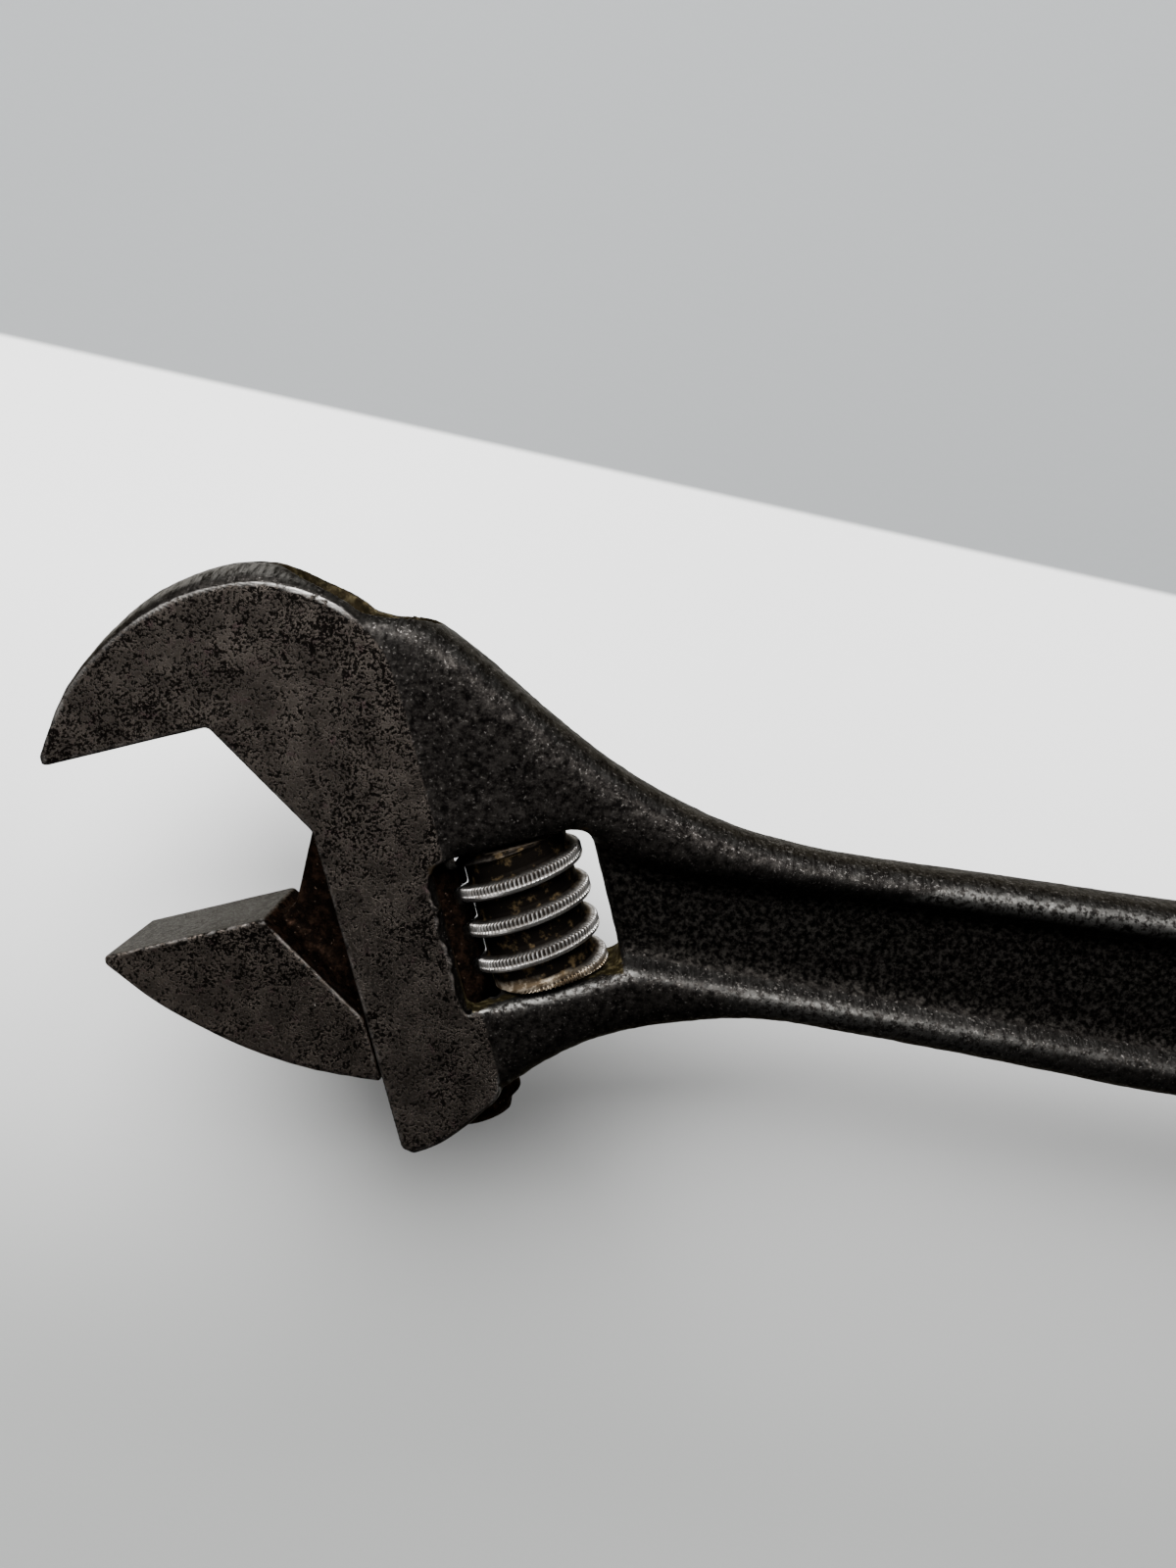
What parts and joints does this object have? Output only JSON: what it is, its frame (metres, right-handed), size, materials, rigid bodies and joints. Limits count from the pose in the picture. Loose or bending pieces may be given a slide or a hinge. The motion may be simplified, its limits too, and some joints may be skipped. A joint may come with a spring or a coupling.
{
  "type": "adjustable wrench",
  "caption": "Adjustable open-end wrench: forged body with fixed jaw and hanging hole, and a jaw with a rack that a thumb-turned worm slides to set the opening.",
  "frame": {"origin": "centre of the hanging hole, at mid thickness", "axes": "+X along the handle from the hanging hole to the head, +Y across the handle towards the movable jaw, +Z out of one face of the tool"},
  "size_m": [0.2055, 0.0537, 0.0128],
  "materials": {
    "forged_body": "worn satin on the ground faces, rough dark forged skin elsewhere",
    "jaw_steel": "worn satin with dark pits",
    "knurl_steel": "bright worn crests, dark greasy valleys",
    "pin_steel": "dark oiled steel",
    "spring_steel": "drawn wire"
  },
  "bodies": {
    "body": {"wrench_body": "forged_body", "knurl_pin": "pin_steel", "knurl_spring": "spring_steel"},
    "jaw": {"movable_jaw": "jaw_steel"},
    "knurl": {"adjusting_knurl": "knurl_steel"}
  },
  "joints": [
    {"name": "jaw_slide", "type": "slide", "parent": "body", "child": "jaw", "axis": [-0.3827, 0.9239, 0], "range_m": [-0.01835, 0.0054]},
    {"name": "knurl_spin", "type": "hinge", "parent": "body", "child": "knurl", "pos_m": [0.14856, 0.00101, 0], "axis": [-0.3827, 0.9239, 0], "range_deg": [-540, 1825]}
  ],
  "couplings": [
    {"joint": "knurl_spin", "follows": "jaw_slide", "rad_per_m": -1730.9}
  ]
}
